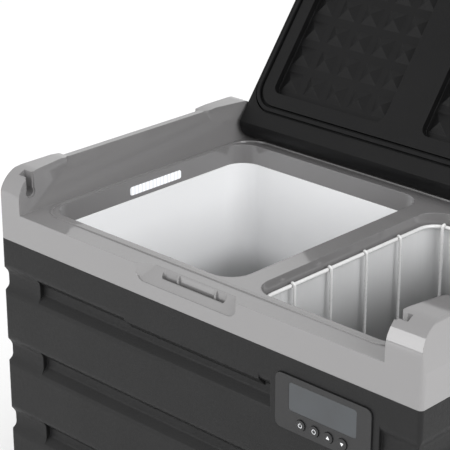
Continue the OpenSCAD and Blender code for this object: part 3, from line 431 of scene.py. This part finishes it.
def add_light(name, place, target, size, power):
    """A square light at place that shines towards target."""
    data = bpy.data.lights.new(name, "AREA")
    data.shape = "SQUARE"
    data.size = size
    data.energy = power
    light = bpy.data.objects.new(name, data)
    light.location = place
    light.rotation_mode = "QUATERNION"
    light.rotation_quaternion = (target - place).to_track_quat("-Z", "Y")
    bpy.context.scene.collection.objects.link(light)


# ---------------------------------------------------------------- pieces from the frame

def paint(obj, material):
    """Gives a piece that one material."""
    obj.data.materials.clear()
    obj.data.materials.append(material)


def node_slots():
    """The material slot of each CAD node, as the record says."""
    return {part["node"]: part["material_slot"] for part in frame["record"]["subparts"]}


def add_mesh(name, verts, faces, material, smooth=False):
    """A new piece in the scene, from its points and faces."""
    mesh = bpy.data.meshes.new(name)
    mesh.from_pydata(verts, [], faces)
    obj = bpy.data.objects.new(name, mesh)
    bpy.context.scene.collection.objects.link(obj)
    obj.data.materials.append(material)
    if smooth:
        mesh.shade_smooth()
    return obj


def joined_copy(name):
    """A copy of a CAD node's mesh whose faces share their vertices."""
    shape = bmesh.new()
    shape.from_mesh(frame["nodes"][name].data)
    bmesh.ops.remove_doubles(shape, verts=shape.verts, dist=JOIN_DISTANCE)
    shape.normal_update()
    return shape


def edge_copy(name):
    """A copy of a CAD node's mesh with its flat faces in one piece, ready for rounding."""
    shape = joined_copy(name)
    bmesh.ops.dissolve_limit(shape, angle_limit=math.radians(FLAT_DEGREES),
                             use_dissolve_boundaries=False,
                             verts=shape.verts, edges=shape.edges, delimit=set())
    shape.normal_update()
    return shape


def finish_copy(shape, name, material, smooth_angle=30):
    """Turns a reworked copy of a CAD node into a piece that stands for it."""
    mesh = bpy.data.meshes.new(name + "_skin")
    for layer in list(shape.loops.layers.float_vector):
        shape.loops.layers.float_vector.remove(layer)
    shape.to_mesh(mesh)
    shape.free()
    for spare in ("custom_normal", "sharp_edge", "sharp_face"):
        if spare in mesh.attributes:
            mesh.attributes.remove(mesh.attributes[spare])
    mesh.shade_smooth()
    mesh.set_sharp_from_angle(angle=math.radians(smooth_angle))
    obj = bpy.data.objects.new(name + "_skin", mesh)
    bpy.context.scene.collection.objects.link(obj)
    paint(obj, material)
    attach(obj, frame["nodes"][name]["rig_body"])
    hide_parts(name)
    even = obj.modifiers.new("even_shading", "WEIGHTED_NORMAL")
    even.keep_sharp = True


def lid_pins():
    """Where the open lid's two rows of pins stand: at its hinge, and along its far edge."""
    hinge = next(joint for joint in frame["joints"] if joint["name"] == "lid_hinge")
    near = Vector(hinge["pos_m"])
    turn = math.radians(hinge["range_deg"][1])
    reach = 2 * near.y
    return near, near + Vector((0, -reach * math.cos(turn), reach * math.sin(turn)))


def is_sharp(edge):
    """Whether an edge joins two faces at an angle that a mould would round."""
    joins_two = len(edge.link_faces) == 2
    return joins_two and edge.calc_face_angle(0.0) > math.radians(SHARP_DEGREES)


def make_lid_shell(materials):
    """The lid's two ends are rounded along their whole outline."""
    low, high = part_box("lid_shell")
    shape = edge_copy("lid_shell")
    pins = lid_pins()
    chosen = []
    for edge in shape.edges:
        points = [vert.co for vert in edge.verts]
        on_end = any(all(abs(p.x - end) <= ON_END for p in points) for end in (low.x, high.x))
        at_bore = any(math.hypot(p.y - pin.y, p.z - pin.z) < BORE_ROOM
                      for p in points for pin in pins)
        if on_end and not at_bore and is_sharp(edge):
            chosen.append(edge)
    bmesh.ops.bevel(shape, geom=chosen, offset=LID_ROUND, offset_type="OFFSET", segments=4,
                    profile=0.5, affect="EDGES", clamp_overlap=False)
    finish_copy(shape, "lid_shell", materials["lid_plastic"])


# ---------------------------------------------------------------- wire basket

def arc_corner(before, corner, after, radius, steps=6):
    """Points of a bend of that radius that joins two straight runs at corner."""
    u = (before - corner).normalized()
    v = (after - corner).normalized()
    half = u.angle(v) / 2
    back = radius / math.tan(half)
    centre = corner + (u + v).normalized() * (radius / math.sin(half))
    a = corner + u * back - centre
    b = corner + v * back - centre
    full = a.angle(b)
    points = []
    for i in range(steps + 1):
        t = i / steps
        points.append(centre + (a * math.sin((1 - t) * full) + b * math.sin(t * full))
                      / math.sin(full))
    return points


def wire_path(corners, radii):
    """Points along a wire that bends with the given radius at each inner corner."""
    points = [corners[0]]
    for before, corner, after, radius in zip(corners, corners[1:], corners[2:], radii):
        points += arc_corner(before, corner, after, radius)
    points.append(corners[-1])
    return points


def tube(verts, faces, points, radius, closed=False, sides=12):
    """Adds a round wire through points, with rounded ends if it is open."""
    count = len(points)
    first = len(verts)
    up = None
    rings = []
    for i, p in enumerate(points):
        before = points[i - 1] if (i or closed) else p
        after = points[(i + 1) % count] if (i + 1 < count or closed) else p
        along = (after - before).normalized()
        if up is None:
            upright = abs(along.z) >= NEARLY_UPRIGHT
            up = Vector((1, 0, 0)) if upright else Vector((0, 0, 1))
        up = (up - along * up.dot(along)).normalized()
        rings.append((p, along, up.copy(), radius))
    if not closed:
        p, along, u, r = rings[0]
        rings.insert(0, (p - along * r * END_REACH, along, u, r * END_RADIUS))
        p, along, u, r = rings[-1]
        rings.append((p + along * r * END_REACH, along, u, r * END_RADIUS))
    for p, along, u, r in rings:
        side = along.cross(u)
        for k in range(sides):
            a = 2 * math.pi * k / sides
            verts.append(p + (u * math.cos(a) + side * math.sin(a)) * r)
    total = len(rings)
    for i in range(total if closed else total - 1):
        j = (i + 1) % total
        for k in range(sides):
            m = (k + 1) % sides
            faces.append((first + i * sides + k, first + i * sides + m,
                          first + j * sides + m, first + j * sides + k))
    if not closed:
        faces.append(tuple(first + k for k in reversed(range(sides))))
        faces.append(tuple(first + (total - 1) * sides + k for k in range(sides)))


def rim_points(low, high, z):
    """The rim's centre line: a level rectangle from low to high with round corners."""
    points = []
    for x, y, start in ((high.x - RIM_CORNER, low.y + RIM_CORNER, -90),
                        (high.x - RIM_CORNER, high.y - RIM_CORNER, 0),
                        (low.x + RIM_CORNER, high.y - RIM_CORNER, 90),
                        (low.x + RIM_CORNER, low.y + RIM_CORNER, 180)):
        for i in range(RIM_CORNER_STEPS + 1):
            a = math.radians(start + i * 90 / RIM_CORNER_STEPS)
            points.append(Vector((x + RIM_CORNER * math.cos(a), y + RIM_CORNER * math.sin(a), z)))
    return points


def corner_shift(place, start, end, inward):
    """How much further in a wire hangs where the rim bends, near start and end."""
    past = max(0.0, start + RIM_CORNER - place, place - end + RIM_CORNER)
    inner = RIM_CORNER - inward
    return inner - math.sqrt(max(0.0, inner ** 2 - past ** 2))


def hooked_wire(a, b, inward, top, bottom):
    """One wire from rim point a to rim point b, hooked over both and going across at bottom."""
    across = (b - a).normalized()
    start = a + across * HOOK_START
    end = b - across * HOOK_START
    inner_a = a + across * inward
    inner_b = b - across * inward
    corners = [Vector((start.x, start.y, top)), Vector((inner_a.x, inner_a.y, top)),
               Vector((inner_a.x, inner_a.y, bottom)), Vector((inner_b.x, inner_b.y, bottom)),
               Vector((inner_b.x, inner_b.y, top)), Vector((end.x, end.y, top))]
    return wire_path(corners, [HOOK_BEND, FLOOR_BEND, FLOOR_BEND, HOOK_BEND])


def make_basket(materials):
    """Rim ring, and wires that hook over it, run down the sides and across the bottom."""
    rim_low, rim_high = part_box("basket_rim")
    floor_low, floor_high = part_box("basket_floor")
    rim_radius = (rim_high.z - rim_low.z) / 2
    rim_z = (rim_low.z + rim_high.z) / 2
    thickness = Vector((rim_radius, rim_radius, rim_radius))
    low, high = rim_low + thickness, rim_high - thickness
    middle = (low + high) / 2
    inward = rim_radius + WIRE_RADIUS
    top = rim_z + rim_radius + WIRE_RADIUS * (1 - HOOK_SINK)
    lower = floor_low.z + WIRE_RADIUS
    upper = floor_high.z - WIRE_RADIUS

    verts, faces = [], []
    tube(verts, faces, rim_points(low, high, rim_z), rim_radius, closed=True, sides=16)
    rim = add_mesh("basket_ring", verts, faces, materials["coated_wire"], smooth=True)

    verts, faces = [], []
    for i in range(WIRES_EACH_WAY):
        y = middle.y + SIDE_WIRE_SHIFT + (i - (WIRES_EACH_WAY - 1) / 2) * SIDE_WIRE_PITCH
        shift = corner_shift(y, low.y, high.y, inward)
        a, b = Vector((low.x + shift, y, 0)), Vector((high.x - shift, y, 0))
        tube(verts, faces, hooked_wire(a, b, inward, top, upper), WIRE_RADIUS)
    for i in range(WIRES_EACH_WAY):
        x = middle.x + (i - (WIRES_EACH_WAY - 1) / 2) * END_WIRE_PITCH
        shift = corner_shift(x, low.x, high.x, inward)
        a, b = Vector((x, low.y + shift, 0)), Vector((x, high.y - shift, 0))
        tube(verts, faces, hooked_wire(a, b, inward, top, lower), WIRE_RADIUS)
    wires = add_mesh("basket_wires", verts, faces, materials["coated_wire"], smooth=True)
    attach(rim, "basket")
    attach(wires, "basket")
    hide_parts("basket_rim")
    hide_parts("basket_uprights", "basket_floor")


# ---------------------------------------------------------------- signs on the keys

def prism(verts, faces, outline, place, depth):
    """A flat sign whose [x, z] outline stands out of a front face by depth."""
    first = len(verts)
    count = len(outline)
    for y in (0.0, -depth):
        for x, z in outline:
            verts.append(place + Vector((x, y, z)))
    faces.append(tuple(first + k for k in reversed(range(count))))
    faces.append(tuple(first + count + k for k in range(count)))
    for k in range(count):
        m = (k + 1) % count
        faces.append((first + k, first + m, first + count + m, first + count + k))


def ring_sign(start, end, steps=20):
    """Outline of a ring, or of a part of it, from one angle in degrees to another."""
    outline = []
    inner = SIGN_RING - SIGN_STROKE
    for r, order in ((SIGN_RING, range(steps + 1)), (inner, range(steps, -1, -1))):
        for i in order:
            a = math.radians(start + (end - start) * i / steps)
            outline.append((r * math.cos(a), r * math.sin(a)))
    return outline


def make_marks(materials):
    """Plain signs on the keys: on and off, a ring, an arrow up and an arrow down."""
    half = SIGN_STROKE / 2
    bar = [(-half, SIGN_BAR_LOW), (half, SIGN_BAR_LOW), (half, SIGN_BAR_TOP), (-half, SIGN_BAR_TOP)]
    arrow = [(-ARROW_TIP, -ARROW_BASE), (ARROW_TIP, -ARROW_BASE), (0.0, ARROW_TIP)]
    signs = {
        "power": [ring_sign(130, 410), bar],
        "set": [ring_sign(0, 180), ring_sign(180, 360)],
        "up": [arrow],
        "down": [[(x, -z) for x, z in reversed(arrow)]],
    }
    for key, outlines in signs.items():
        low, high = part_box(key + "_button")
        place = Vector(((low.x + high.x) / 2, low.y + SIGN_SUNK, (low.z + high.z) / 2))
        verts, faces = [], []
        for outline in outlines:
            prism(verts, faces, outline, place, SIGN_DEPTH)
        obj = add_mesh(key + "_mark", verts, faces, materials["marks"])
        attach(obj, key + "_key")


def main():
    """Paints every CAD node, and adds the pieces that stand for some of them."""
    bpy.context.scene.view_settings.view_transform = "Standard"
    materials = make_materials()
    make_camera()
    make_stage()
    for name, slot in node_slots().items():
        paint(frame["nodes"][name], materials[slot])
    finish_copy(edge_copy("top_frame"), "top_frame", materials["frame_plastic"])
    finish_copy(joined_copy("body_shell"), "body_shell", materials["body_plastic"],
                smooth_angle=15)
    make_lid_shell(materials)
    make_basket(materials)
    make_marks(materials)


main()
